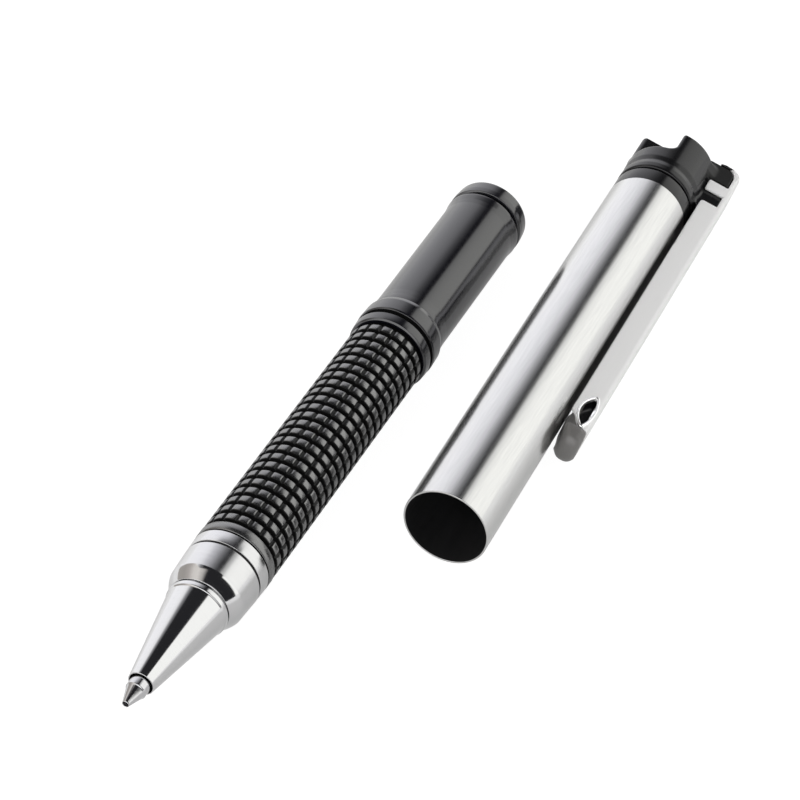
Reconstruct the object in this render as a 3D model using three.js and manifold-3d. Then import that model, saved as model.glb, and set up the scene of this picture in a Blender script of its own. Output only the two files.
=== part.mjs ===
// A capped ballpoint pocket pen, lying beside the cap that was pulled off it.
// Millimetres, +Z up. The pen lies along +X with its point at the low end, and rests on its shoulder ring.
// The cap lies beside it towards -Y, with its mouth towards the point, and rests on its tube and its clip.
// Outlines of turned pieces are lists of [place along the piece, radius].
import * as THREE from "three";
import { mergeVertices } from "three/addons/utils/BufferGeometryUtils.js";
import Module from "manifold-3d";

const wasm = await Module();
wasm.setup();

// Facets
const SIDES = 32;
const SMALL_SIDES = 20;
const ARC_STEPS = 3;
const MERGE = 1e-4;

// Clearances
const SNUG = 0.03;
const RUNNING = 0.05;
const TURNED_GAP = 0.1;

// Refill: a thin straight metal one
const REFILL_RADIUS = 1.175;
const REFILL_LENGTH = 67;
const REFILL_WALL = 0.2;
const BALL_RADIUS = 0.35;
const BALL_SHOWS = 0.2;
const BALL_PLAY = 0.03;
const POINT_LIP = 0.06;
const POINT_CONE_LENGTH = 2.2;
const POINT_STEP = 0.125;
const POINT_HEAD_LENGTH = 5;
const POINT_SHANK_LENGTH = 4;
const INK_FEED_RADIUS = 0.2;
const INK_LENGTH = 43;

// Nose cone
const NOSE_LIP = 3.5;
const NOSE_LIP_RADIUS = 1.5;
const NOSE_LIP_WALL = 0.12;
const NOSE_MOUTH_DEPTH = 1.2;
const NOSE_GUIDE_LENGTH = 5;
const NOSE_END = 15.6;
const NOSE_END_RADIUS = 3.5;
const NOSE_BAND_LENGTH = 0.7;
const NOSE_BAND_RISE = 0.12;
const NOSE_STEP = 0.25;
const NOSE_SPIGOT_SETBACK = 0.4;
const NOSE_SPIGOT_LENGTH = 3.6;
const NOSE_CAVITY_RADIUS = 1.9;

// Nose collar, with the flange in front of it and the threaded neck behind it
const FLANGE_SETBACK = 0.17;
const FLANGE_LENGTH = 1.6;
const FLANGE_ROUND = 0.85;
const COLLAR_LENGTH = 3.5;
const COLLAR_SETBACK = 0.06;
const NECK_RADIUS = 2.6;
const NECK_LENGTH = 5.4;
const WASHER_THICKNESS = 0.35;
const WASHER_SETBACK = 0.14;

// Ring, bush and barrel
const RING_LENGTH = 1.7;
const RING_SETBACK = 0.02;
const BUSH_WALL = 0.5;
const BUSH_LENGTH = 8.5;
const CORE_WALL = 0.7;
const BARREL_SETBACK = 0.09;
const BARREL_STEP_RISE = 0.04;
const BARREL_TAPER = 1.7;
const FLARE_LENGTH = 1.2;
const BARREL_BAND_LENGTH = 0.35;
const RIM_RISE = 0.06;

// Grip sleeve
const SLEEVE_BAND_LENGTH = 1.25;
const SLEEVE_WALL = 0.73;
const PAD_ROWS = 24;
const PAD_COLUMNS = 18;
const PAD_PITCH = 1.56;
const PAD_LENGTH = 1.06;
const PAD_SPAN_DEGREES = 14.2;
const FIRST_PAD_DEGREES = 62.2;
const RING_GROOVE_DEPTH = 0.3;
const LONG_GROOVE_DEPTH = 0.24;
const GROOVE_START = 0.3;

// Shoulder ring, which stops the mouth of the cap
const SHOULDER_RISE = 0.05;
const SHOULDER_FRONT_LENGTH = 1.4;
const SHOULDER_FRONT_SETBACK = 0.07;
const SHOULDER_GROOVE = 0.42;
const SHOULDER_BACK_LENGTH = 2.84;
const SHOULDER_EDGE = 0.16;

// Refill socket and tail plug
const SOCKET_LENGTH = 14;
const SOCKET_SEAT = 9;
const SOCKET_VENT_RADIUS = 0.6;
const PEN_LENGTH = 93.2;
const PLUG_LENGTH = 2.95;
const PLUG_GROOVE = 0.5;
const PLUG_GROOVE_DEPTH = 0.16;
const PLUG_ROUND = 0.45;
const PLUG_SPIGOT_LENGTH = 6;
const PLUG_BORE_RADIUS = 2.2;

// Cap: where it lies, its tube and its crown
const CAP_MOUTH_X = 38.95;
const CAP_MOUTH_Y = -18.51;
const CAP_HEADING_DEGREES = 1.63;
const CAP_CLEARANCE = 0.1;
const CAP_WALL = 0.22;
const CAP_TUBE_LENGTH = 62.3;
const MOUTH_EDGE = 0.08;
const INSERT_SPIGOT_LENGTH = 8.5;
const INSERT_BAND_LENGTH = 2.15;
const INSERT_WALL = 0.7;
const INSERT_NECK_SETBACK = 0.9;
const CROWN_GROOVE = 0.5;
const CROWN_WAIST_DEPTH = 0.14;
const CROWN_WAIST_PLACE = 1.75;
const CROWN_WAIST_HALF = 0.8;
const CROWN_EDGE = 0.2;
const CROWN_LENGTH = 8.15;
const CROWN_CUT_DEPTH = 3.6;
const CROWN_FLOOR = 0.85;
const CROWN_CUT_START = 0.6;
const CROWN_CUT_ROOT = 1.1;
const FIN_THICKNESS = 1.3;
const FIN_RISE = 1.15;
const FIN_CORNER = 0.35;

// Clip: a folded steel cover over a plastic arm. Heights are counted from the tube's surface or the clip's face,
// and places from the clip's tip, or from the crown where they go with it.
const CLIP_STANDOFF = 3;
const CLIP_WIDTH = 5;
const CLIP_SHEET = 0.4;
const CLIP_FLOOR_GAP = 0.04;
const CLIP_BEND = 0.5;
const CLIP_TIP = 18.9;
const CLIP_TIP_LENGTH = 2.6;
const CLIP_FLANGE_GAP = 0.28;
const CLIP_CORNER_LENGTH = 1.9;
const CLIP_CORNER_HEIGHT = 1.6;
const CLIP_RAIL = 0.75;
const CLIP_FLANGE_LAP = 0.7;
const CLIP_STRAP_PLACE = 4.05;
const CLIP_STRAP_LENGTH = 1.8;
const CLIP_STRAP_LAP = 0.25;
const CLIP_END_GAP = 0.3;
const CLIP_END_LAP = 0.5;
const EYE_PLACE = 0.5;
const EYE_LENGTH = 4.8;
const EYE_DEPTH = 1.08;
const EYE_INNER_BULGE = 0.75;
const EYE_OUTER_BULGE = 0.5;
const NOTCH_LENGTH = 4;
const NOTCH_SETBACK = 5.3;
const NOTCH_DEPTH = 0.32;
const BOSS_PLACE = 1.05;
const BOSS_RISE = 0.8;
const BOSS_ROUND = 0.4;
const ARM_TIP_ROUND = 1.15;
const ARM_TIP_GAP = 0.5;
const ARM_CONTACT_PLACE = 1.9;
const ARM_CONTACT_GAP = 0.08;
const ARM_GAP = 0.95;
const ARM_WAIST_WIDTH = 3;
const ARM_WAIST_PLACE = 3.2;
const ARM_HUMP_SETBACK = 0.02;
const ARM_ROOT_GAP = 0.3;
const TIP_STEPS = 10;

const glossBlack = { color: 0x17161b, roughness: 0.22, metalness: 0 };
const materials = {
  chrome: new THREE.MeshStandardMaterial({ color: 0xe6e6e8, roughness: 0.08, metalness: 1 }),
  steel: new THREE.MeshStandardMaterial({ color: 0xcfcfd2, roughness: 0.32, metalness: 1 }),
  clipSteel: new THREE.MeshStandardMaterial({ color: 0xd2d2d4, roughness: 0.4, metalness: 1 }),
  brass: new THREE.MeshStandardMaterial({ color: 0xc9a24a, roughness: 0.35, metalness: 1 }),
  carbide: new THREE.MeshStandardMaterial({ color: 0x2a2a2d, roughness: 0.2, metalness: 1 }),
  barrelBlack: new THREE.MeshStandardMaterial(glossBlack),
  gripBlack: new THREE.MeshStandardMaterial({ color: 0x1a181d, roughness: 0.35, metalness: 0 }),
  crownBlack: new THREE.MeshStandardMaterial({ color: 0x1c1b1e, roughness: 0.38, metalness: 0 }),
  rubber: new THREE.MeshStandardMaterial({ color: 0x0c0c0d, roughness: 0.7, metalness: 0 }),
  ink: new THREE.MeshStandardMaterial({ color: 0x101018, roughness: 0.3, metalness: 0 }),
};

const radians = THREE.MathUtils.degToRad;

// Points on an arc, from one angle to another, in degrees
function arc(centreX, centreY, radius, fromDegrees, toDegrees, steps = ARC_STEPS) {
  const points = [];
  for (let i = 0; i <= steps; i += 1) {
    const angle = radians(fromDegrees + ((toDegrees - fromDegrees) * i) / steps);
    points.push([centreX + radius * Math.cos(angle), centreY + radius * Math.sin(angle)]);
  }
  return points;
}

// A solid turned about the X axis. The outline runs up the outside first, then back down the bore,
// and starts and ends on the axis where there is no bore.
function turned(outline, sides = SIDES) {
  const closed = outline[0][1] === 0 ? outline : [...outline, outline[0]];
  const points = closed.map(([along, radius]) => new THREE.Vector2(radius, along));
  return new THREE.LatheGeometry(points, sides).rotateZ(-Math.PI / 2);
}

// A piece of constant bore between two places
function sleeve(start, end, bore, outer, sides = SIDES) {
  return turned([[start, outer], [end, outer], [end, bore], [start, bore]], sides);
}

function shapeOf(points) {
  return new THREE.Shape(points.map(([x, y]) => new THREE.Vector2(x, y)));
}

function extruded(points, from, to, basis) {
  const settings = { depth: to - from, bevelEnabled: false };
  const geometry = new THREE.ExtrudeGeometry(shapeOf(points), settings).translate(0, 0, from);
  return basis ? geometry.applyMatrix4(basis) : geometry;
}

const ALONG = new THREE.Vector3(1, 0, 0);
const ACROSS = new THREE.Vector3(0, 1, 0);
const OUT = new THREE.Vector3(0, 0, 1);

// A section of [across, out] points that runs along the piece
function alongPiece(points, from, to) {
  return extruded(points, from, to, new THREE.Matrix4().makeBasis(ACROSS, OUT, ALONG));
}

// A side view of [along, out] points that runs across the piece, half of it on each side
function acrossPiece(points, width) {
  const basis = new THREE.Matrix4().makeBasis(ALONG, OUT, ACROSS.clone().negate());
  return extruded(points, -width / 2, width / 2, basis);
}

// A plan view of [along, across] points that runs out from the axis
function outPiece(points, from, to) {
  return extruded(points, from, to);
}

function solid(geometry) {
  const bare = new THREE.BufferGeometry();
  bare.setAttribute("position", geometry.getAttribute("position"));
  bare.setIndex(geometry.getIndex());
  const merged = mergeVertices(bare, MERGE);
  const mesh = new wasm.Mesh({
    numProp: 3,
    vertProperties: merged.attributes.position.array,
    triVerts: new Uint32Array(merged.index.array),
  });
  return new wasm.Manifold(mesh);
}

function geometryOf(manifold) {
  const mesh = manifold.getMesh();
  const geometry = new THREE.BufferGeometry();
  geometry.setAttribute("position", new THREE.BufferAttribute(mesh.vertProperties, 3));
  geometry.setIndex(new THREE.BufferAttribute(mesh.triVerts, 1));
  return geometry;
}

function piece(name, geometry, material) {
  const mesh = new THREE.Mesh(geometry, material);
  mesh.name = name;
  return mesh;
}

// Radii that several pieces share: each follows from the one inside it
const tubeBore = REFILL_RADIUS - REFILL_WALL;
const noseBandRadius = NOSE_END_RADIUS + NOSE_BAND_RISE;
const noseSpigotRadius = NOSE_END_RADIUS - NOSE_SPIGOT_SETBACK;
const bushBore = NECK_RADIUS + RUNNING;
const bushRadius = bushBore + BUSH_WALL;
const coreBore = bushRadius + RUNNING;
const coreRadius = coreBore + CORE_WALL;
const sleeveBore = coreRadius + RUNNING;
const padRadius = sleeveBore + SLEEVE_WALL;
const grooveRadius = padRadius - RING_GROOVE_DEPTH;
const ringRadius = padRadius - RING_SETBACK;
const collarEndRadius = ringRadius - COLLAR_SETBACK;
const flangeRadius = collarEndRadius - FLANGE_SETBACK;
const barrelRadius = padRadius - BARREL_SETBACK;
const barrelStepRadius = padRadius + BARREL_STEP_RISE;
const rimRadius = padRadius + RIM_RISE;
const plugGrooveRadius = rimRadius - PLUG_GROOVE_DEPTH;
const capBore = padRadius + CAP_CLEARANCE;
const capRadius = capBore + CAP_WALL;
const shoulderRadius = capRadius + SHOULDER_RISE;
const shoulderFrontRadius = shoulderRadius - SHOULDER_FRONT_SETBACK;

// Places that several pieces share, counted from the point
const pointHeadEnd = POINT_HEAD_LENGTH;
const pointShankEnd = pointHeadEnd + POINT_SHANK_LENGTH;
const noseBandEnd = NOSE_END + NOSE_BAND_LENGTH;
const flangeStart = noseBandEnd + NOSE_STEP;
const flangeEnd = flangeStart + FLANGE_LENGTH;
const collarEnd = flangeEnd + COLLAR_LENGTH;
const ringStart = collarEnd + WASHER_THICKNESS;
const ringEnd = ringStart + RING_LENGTH;
const bandEnd = ringEnd + GROOVE_START + SLEEVE_BAND_LENGTH;
const padGap = PAD_PITCH - PAD_LENGTH;
const sleeveEnd = bandEnd + padGap + PAD_ROWS * PAD_PITCH + GROOVE_START / 2;
const shoulderFrontEnd = sleeveEnd + SHOULDER_FRONT_LENGTH;
const shoulderBackStart = shoulderFrontEnd + SHOULDER_GROOVE;
const shoulderEnd = shoulderBackStart + SHOULDER_BACK_LENGTH;
const barrelEnd = PEN_LENGTH - PLUG_LENGTH;
const flareEnd = barrelEnd - BARREL_BAND_LENGTH;

function writingBall() {
  const ball = new THREE.SphereGeometry(BALL_RADIUS, 12, 8).rotateZ(-Math.PI / 2);
  return piece("writing_ball", ball.translate(BALL_RADIUS, 0, 0), materials.carbide);
}

function refillPoint() {
  const seat = BALL_RADIUS + BALL_PLAY;
  const outline = [
    [BALL_SHOWS, seat + POINT_LIP],
    [POINT_CONE_LENGTH, REFILL_RADIUS - POINT_STEP],
    [POINT_CONE_LENGTH + POINT_LIP, REFILL_RADIUS],
    [pointHeadEnd, REFILL_RADIUS],
    [pointHeadEnd, tubeBore - SNUG],
    [pointShankEnd, tubeBore - SNUG],
    [pointShankEnd, INK_FEED_RADIUS],
    [2 * BALL_RADIUS + BALL_PLAY + seat / 2, INK_FEED_RADIUS],
    [2 * BALL_RADIUS + BALL_PLAY, seat],
    [BALL_SHOWS, seat],
  ];
  return piece("refill_point", turned(outline, SMALL_SIDES), materials.steel);
}

function refillTube() {
  const tube = sleeve(pointHeadEnd, REFILL_LENGTH, tubeBore, REFILL_RADIUS, SMALL_SIDES);
  return piece("refill_tube", tube, materials.brass);
}

function inkColumn() {
  const start = pointShankEnd + SNUG;
  const radius = tubeBore - SNUG;
  const outline = [[start, 0], [start, radius], [start + INK_LENGTH, radius], [start + INK_LENGTH, 0]];
  return piece("ink_column", turned(outline, SMALL_SIDES), materials.ink);
}

function noseCone() {
  const guide = REFILL_RADIUS + 2 * RUNNING;
  const guideEnd = NOSE_LIP + NOSE_GUIDE_LENGTH;
  const outline = [
    [NOSE_LIP, NOSE_LIP_RADIUS],
    [NOSE_END, NOSE_END_RADIUS],
    [NOSE_END + NOSE_LIP_WALL, noseBandRadius],
    [noseBandEnd, noseBandRadius],
    [noseBandEnd, NOSE_END_RADIUS - NOSE_STEP],
    [flangeStart, NOSE_END_RADIUS - NOSE_STEP],
    [flangeStart, noseSpigotRadius],
    [flangeStart + NOSE_SPIGOT_LENGTH, noseSpigotRadius],
    [flangeStart + NOSE_SPIGOT_LENGTH, NOSE_CAVITY_RADIUS],
    [guideEnd + NOSE_CAVITY_RADIUS, NOSE_CAVITY_RADIUS],
    [guideEnd, guide],
    [NOSE_LIP + NOSE_MOUTH_DEPTH, guide],
    [NOSE_LIP, NOSE_LIP_RADIUS - NOSE_LIP_WALL],
  ];
  return piece("nose_cone", turned(outline), materials.chrome);
}

// The collar's flange is rounded in front, and its neck is plain at the thread's outer size.
function noseCollar() {
  const roundCentre = [flangeStart + FLANGE_ROUND, flangeRadius - FLANGE_ROUND];
  const bore = noseSpigotRadius + SNUG;
  const boreEnd = flangeStart + NOSE_SPIGOT_LENGTH + SNUG;
  const outline = [
    ...arc(...roundCentre, FLANGE_ROUND, 180, 90, 4),
    [flangeEnd, flangeRadius],
    [collarEnd, collarEndRadius],
    [collarEnd, NECK_RADIUS],
    [collarEnd + NECK_LENGTH, NECK_RADIUS],
    [collarEnd + NECK_LENGTH, NOSE_CAVITY_RADIUS],
    [boreEnd, NOSE_CAVITY_RADIUS],
    [boreEnd, bore],
    [flangeStart, bore],
  ];
  return piece("nose_collar", turned(outline), materials.chrome);
}

function sealWasher() {
  const outer = collarEndRadius - WASHER_SETBACK;
  const washer = sleeve(collarEnd, ringStart, NECK_RADIUS + RUNNING, outer);
  return piece("seal_washer", washer, materials.rubber);
}

function barrelRing() {
  const outline = [
    [ringStart, collarEndRadius],
    [ringEnd, ringRadius],
    [ringEnd, bushRadius + SNUG],
    [ringStart, bushRadius + SNUG],
  ];
  return piece("barrel_ring", turned(outline), materials.chrome);
}

function threadBush() {
  const bush = sleeve(ringStart, ringStart + BUSH_LENGTH, bushBore, bushRadius);
  return piece("thread_bush", bush, materials.brass);
}

function barrel() {
  const tail = shoulderEnd + SNUG;
  const outline = [
    [ringEnd, coreRadius],
    [tail, coreRadius],
    [tail, barrelStepRadius],
    [tail + BARREL_TAPER, barrelRadius],
    [flareEnd - FLARE_LENGTH, barrelRadius],
    [flareEnd, rimRadius],
    [barrelEnd, rimRadius],
    [barrelEnd, coreBore],
    [ringEnd, coreBore],
  ];
  return piece("barrel", turned(outline), materials.barrelBlack);
}

// Rows and columns of raised pads, with a ring groove after each row and a narrow groove between columns.
// The surface is one grid: its rings run out along the sleeve and back along the bore.
function gripSleeve() {
  const columnDegrees = 360 / PAD_COLUMNS;
  const turns = [];
  for (let column = 0; column < PAD_COLUMNS; column += 1) {
    const middle = FIRST_PAD_DEGREES + column * columnDegrees;
    turns.push({ degrees: middle - PAD_SPAN_DEGREES / 2, groove: false });
    turns.push({ degrees: middle + PAD_SPAN_DEGREES / 2, groove: false });
    turns.push({ degrees: middle + columnDegrees / 2, groove: true });
  }
  const rings = [];
  const plainRing = (along, radius) => rings.push(turns.map((turn) => [along, radius, turn.degrees]));
  const padRing = (along) => {
    const depth = (turn) => (turn.groove ? LONG_GROOVE_DEPTH : 0);
    rings.push(turns.map((turn) => [along, padRadius - depth(turn), turn.degrees]));
  };
  plainRing(ringEnd, grooveRadius);
  plainRing(ringEnd + GROOVE_START, padRadius);
  plainRing(bandEnd, padRadius);
  plainRing(bandEnd + padGap / 2, grooveRadius);
  for (let row = 0; row < PAD_ROWS; row += 1) {
    const start = bandEnd + padGap + row * PAD_PITCH;
    padRing(start);
    padRing(start + PAD_LENGTH);
    plainRing(start + PAD_LENGTH + padGap / 2, grooveRadius);
  }
  plainRing(sleeveEnd, grooveRadius);
  plainRing(sleeveEnd, sleeveBore);
  plainRing(ringEnd, sleeveBore);

  const corners = rings.flat().map(([along, radius, degrees]) => {
    const angle = radians(degrees);
    return [along, -radius * Math.cos(angle), radius * Math.sin(angle)];
  });
  const count = turns.length;
  const index = [];
  for (let ring = 0; ring < rings.length; ring += 1) {
    const here = ring * count;
    const next = ((ring + 1) % rings.length) * count;
    for (let turn = 0; turn < count; turn += 1) {
      const beside = (turn + 1) % count;
      index.push(here + turn, next + turn, here + beside);
      index.push(here + beside, next + turn, next + beside);
    }
  }
  const geometry = new THREE.BufferGeometry();
  geometry.setAttribute("position", new THREE.Float32BufferAttribute(corners.flat(), 3));
  geometry.setIndex(index);
  return piece("grip_sleeve", geometry, materials.gripBlack);
}

function shoulderRing() {
  const outline = [
    [sleeveEnd, padRadius],
    [sleeveEnd + SHOULDER_EDGE, shoulderFrontRadius - SHOULDER_EDGE / 2],
    [shoulderFrontEnd - SHOULDER_EDGE, shoulderFrontRadius],
    [shoulderFrontEnd, padRadius],
    [shoulderBackStart, padRadius],
    [shoulderBackStart + SHOULDER_EDGE, shoulderRadius - SHOULDER_EDGE / 2],
    [shoulderBackStart + 2 * SHOULDER_EDGE, shoulderRadius],
    [shoulderEnd - 4 * SHOULDER_EDGE, shoulderRadius - SHOULDER_EDGE / 2],
    [shoulderEnd, barrelStepRadius + RUNNING],
    [shoulderEnd, sleeveBore],
    [sleeveEnd, sleeveBore],
  ];
  return piece("shoulder_ring", turned(outline), materials.barrelBlack);
}

function refillSocket() {
  const start = REFILL_LENGTH - SOCKET_SEAT;
  const outline = [
    [start, coreBore - RUNNING],
    [start + SOCKET_LENGTH, coreBore - RUNNING],
    [start + SOCKET_LENGTH, SOCKET_VENT_RADIUS],
    [REFILL_LENGTH + SNUG, SOCKET_VENT_RADIUS],
    [REFILL_LENGTH + SNUG, REFILL_RADIUS + SNUG],
    [start, REFILL_RADIUS + SNUG],
  ];
  return piece("refill_socket", turned(outline, SMALL_SIDES), materials.barrelBlack);
}

function tailPlug() {
  const rimStart = barrelEnd + PLUG_GROOVE;
  const outline = [
    [barrelEnd - PLUG_SPIGOT_LENGTH, coreBore - RUNNING],
    [barrelEnd, coreBore - RUNNING],
    [barrelEnd, plugGrooveRadius],
    [rimStart, plugGrooveRadius],
    [rimStart, rimRadius],
    ...arc(PEN_LENGTH - PLUG_ROUND, rimRadius - 1.3 * PLUG_ROUND, PLUG_ROUND, 80, 0),
    [PEN_LENGTH, 0],
    [barrelEnd, 0],
    [barrelEnd, PLUG_BORE_RADIUS],
    [barrelEnd - PLUG_SPIGOT_LENGTH, PLUG_BORE_RADIUS],
  ];
  const start = outline.indexOf(outline.find(([, radius]) => radius === 0)) + 1;
  const onAxis = [...outline.slice(start), ...outline.slice(0, start)];
  return piece("tail_plug", turned(onAxis), materials.barrelBlack);
}

// The cap's places, counted from its mouth
const insertBandEnd = CAP_TUBE_LENGTH + INSERT_BAND_LENGTH;
const crownStart = insertBandEnd + CROWN_GROOVE;
const crownEnd = crownStart + CROWN_LENGTH;
const crownFloor = crownEnd - CROWN_CUT_DEPTH;
const socketEnd = crownFloor - CROWN_FLOOR;
const bossStart = crownStart + BOSS_PLACE;
const bossEnd = crownEnd + BOSS_RISE;
const coverStart = CLIP_TIP + CLIP_TIP_LENGTH;
const coverEnd = bossEnd + CLIP_END_GAP + CLIP_SHEET;
const strapStart = crownStart + CLIP_STRAP_PLACE;
const strapEnd = strapStart + CLIP_STRAP_LENGTH;
const eyeStart = coverStart + EYE_PLACE;
const eyeEnd = eyeStart + EYE_LENGTH;
const notchEnd = bossStart - NOTCH_SETBACK;
const notchStart = notchEnd - NOTCH_LENGTH;
const armEnd = bossStart - ARM_ROOT_GAP;

// Radii and heights out from the cap's axis
const neckRadius = capRadius - INSERT_NECK_SETBACK;
const clipReach = capRadius + CLIP_STANDOFF;
const flangeEdge = capRadius + CLIP_FLANGE_GAP;
const strapEdge = capRadius - CLIP_STRAP_LAP;
const railEdge = clipReach - CLIP_RAIL;
const eyeLevel = clipReach - EYE_DEPTH;
const clipInside = CLIP_WIDTH / 2 - CLIP_SHEET;
const bossHalf = clipInside - RUNNING;
const bossTop = clipReach - CLIP_SHEET - RUNNING;

// The cap rests on its tube and on the clip's lower edge, which sets how far the clip dips below level.
const clipCorner = Math.hypot(clipReach, CLIP_WIDTH / 2);
const clipDip =
  Math.asin((capRadius - CLIP_FLOOR_GAP) / clipCorner) - Math.atan2(CLIP_WIDTH / 2, clipReach);

function capTube() {
  const outline = [
    [0, capRadius - MOUTH_EDGE],
    [MOUTH_EDGE, capRadius],
    [CAP_TUBE_LENGTH, capRadius],
    [CAP_TUBE_LENGTH, capBore],
    [0, capBore],
  ];
  return piece("cap_tube", turned(outline), materials.steel);
}

function crownInsert() {
  const bandStart = CAP_TUBE_LENGTH + SNUG;
  const neckEnd = socketEnd - TURNED_GAP;
  const bore = neckRadius - INSERT_WALL;
  const outline = [
    [CAP_TUBE_LENGTH - INSERT_SPIGOT_LENGTH, capBore - RUNNING],
    [bandStart, capBore - RUNNING],
    [bandStart, capRadius - SNUG],
    [insertBandEnd, capRadius - SNUG],
    [insertBandEnd, neckRadius],
    [neckEnd, neckRadius],
    [neckEnd, bore],
    [CAP_TUBE_LENGTH - INSERT_SPIGOT_LENGTH, bore],
  ];
  return piece("crown_insert", turned(outline), materials.crownBlack);
}

// The cut across the half that faces away from the clip, rounded where its wall meets its floor
function crownCut() {
  const far = 2 * capRadius;
  const top = crownEnd + CROWN_EDGE;
  const wall = -CROWN_CUT_START;
  const root = arc(crownFloor + CROWN_CUT_ROOT, wall - CROWN_CUT_ROOT, CROWN_CUT_ROOT, 90, 180, 5);
  return solid(acrossPiece([[top, -far], [top, wall], ...root, [crownFloor, -far]], 2 * far));
}

// The fin that stands in the cut, in line with the clip, and rises a little above the crown
function crownFin() {
  const face = FIN_THICKNESS / 2;
  const foot = crownFloor - FIN_RISE;
  const end = crownEnd + FIN_RISE;
  const section = [[-face, -2 * capRadius], [face, -2 * capRadius], [face, 0], [-face, 0]];
  const outside = turned([
    [foot, 0],
    [foot, capRadius],
    [end - FIN_CORNER, capRadius],
    [end, capRadius - FIN_CORNER],
    [end, 0],
  ]);
  return solid(alongPiece(section, foot - FIN_RISE, end + FIN_RISE)).intersect(solid(outside));
}

function capCrown() {
  const waist = crownStart + CROWN_WAIST_PLACE;
  const neckBore = neckRadius + TURNED_GAP;
  const body = turned([
    [crownStart, 0],
    [crownStart, capRadius - CROWN_EDGE],
    [crownStart + CROWN_EDGE, capRadius],
    [waist - CROWN_WAIST_HALF, capRadius],
    [waist, capRadius - CROWN_WAIST_DEPTH],
    [waist + CROWN_WAIST_HALF, capRadius],
    [crownEnd - CROWN_EDGE, capRadius],
    [crownEnd, capRadius - CROWN_EDGE],
    [crownEnd, 0],
  ]);
  const bossCorner = arc(bossHalf - BOSS_ROUND, bossTop - BOSS_ROUND, BOSS_ROUND, 0, 90);
  const mirrored = bossCorner.map(([across, out]) => [-across, out]).reverse();
  const foot = capRadius / 2;
  const boss = alongPiece([[-bossHalf, foot], [bossHalf, foot], ...bossCorner, ...mirrored], bossStart, bossEnd);
  const socket = turned([
    [crownStart - CROWN_EDGE, 0],
    [crownStart - CROWN_EDGE, neckBore],
    [socketEnd, neckBore],
    [socketEnd, 0],
  ]);
  const crown = solid(body).subtract(crownCut()).add(crownFin()).add(solid(boss)).subtract(solid(socket));
  return piece("cap_crown", geometryOf(crown), materials.crownBlack);
}

// The cover's section: a channel open towards the tube, with rounded outer edges
function channelSection() {
  const half = CLIP_WIDTH / 2;
  const right = [
    [half, flangeEdge],
    ...arc(half - CLIP_BEND, clipReach - CLIP_BEND, CLIP_BEND, 0, 90),
  ];
  const left = right.map(([across, out]) => [-across, out]).reverse();
  const inside = [
    [-clipInside, flangeEdge],
    [-clipInside, clipReach - CLIP_SHEET],
    [clipInside, clipReach - CLIP_SHEET],
    [clipInside, flangeEdge],
  ];
  return [...right, ...left, ...inside];
}

// A window through both sides of the cover, from its open edge out to one height
function sideWindow(start, end, edge) {
  const below = edge - CLIP_SHEET;
  const points = [[start, below], [end, below], [end, railEdge], [start, railEdge]];
  return solid(acrossPiece(points, 2 * CLIP_WIDTH));
}

// The almond-shaped eye near the end of the clip
function clipEye() {
  const inner = [];
  const outer = [];
  for (let i = 0; i <= TIP_STEPS; i += 1) {
    const share = i / TIP_STEPS;
    const along = eyeStart + (eyeEnd - eyeStart) * share;
    const bulge = Math.sin(Math.PI * share);
    inner.push([along, eyeLevel - EYE_INNER_BULGE * bulge]);
    outer.push([along, eyeLevel + EYE_OUTER_BULGE * bulge]);
  }
  const points = [...inner, ...outer.slice(1, -1).reverse()];
  return solid(acrossPiece(points, 2 * CLIP_WIDTH));
}

// What is taken off the flanges' lower corners at the cover's open end
function cornerCut() {
  const below = flangeEdge - CLIP_SHEET;
  const points = [[coverStart - CLIP_SHEET, below], [coverStart + CLIP_CORNER_LENGTH, below]];
  for (let i = 0; i <= TIP_STEPS / 2; i += 1) {
    const angle = (Math.PI * i) / TIP_STEPS;
    points.push([
      coverStart + CLIP_CORNER_LENGTH * (1 - Math.sin(angle)),
      flangeEdge + CLIP_CORNER_HEIGHT * (1 - Math.cos(angle)),
    ]);
  }
  points.push([coverStart - CLIP_SHEET, flangeEdge + CLIP_CORNER_HEIGHT]);
  return solid(acrossPiece(points, 2 * CLIP_WIDTH));
}

// The shallow notch in the flanges' lower edges, where the arm's hump shows
function flangeNotch() {
  const points = [];
  for (let i = 0; i <= TIP_STEPS; i += 1) {
    const share = i / TIP_STEPS;
    const along = notchEnd + (notchStart - notchEnd) * share;
    points.push([along, flangeEdge + NOTCH_DEPTH * Math.sin(Math.PI * share) - MOUTH_EDGE / 2]);
  }
  const below = flangeEdge - CLIP_SHEET;
  return solid(acrossPiece([[notchStart, below], [notchEnd, below], ...points], 2 * CLIP_WIDTH));
}

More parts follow.
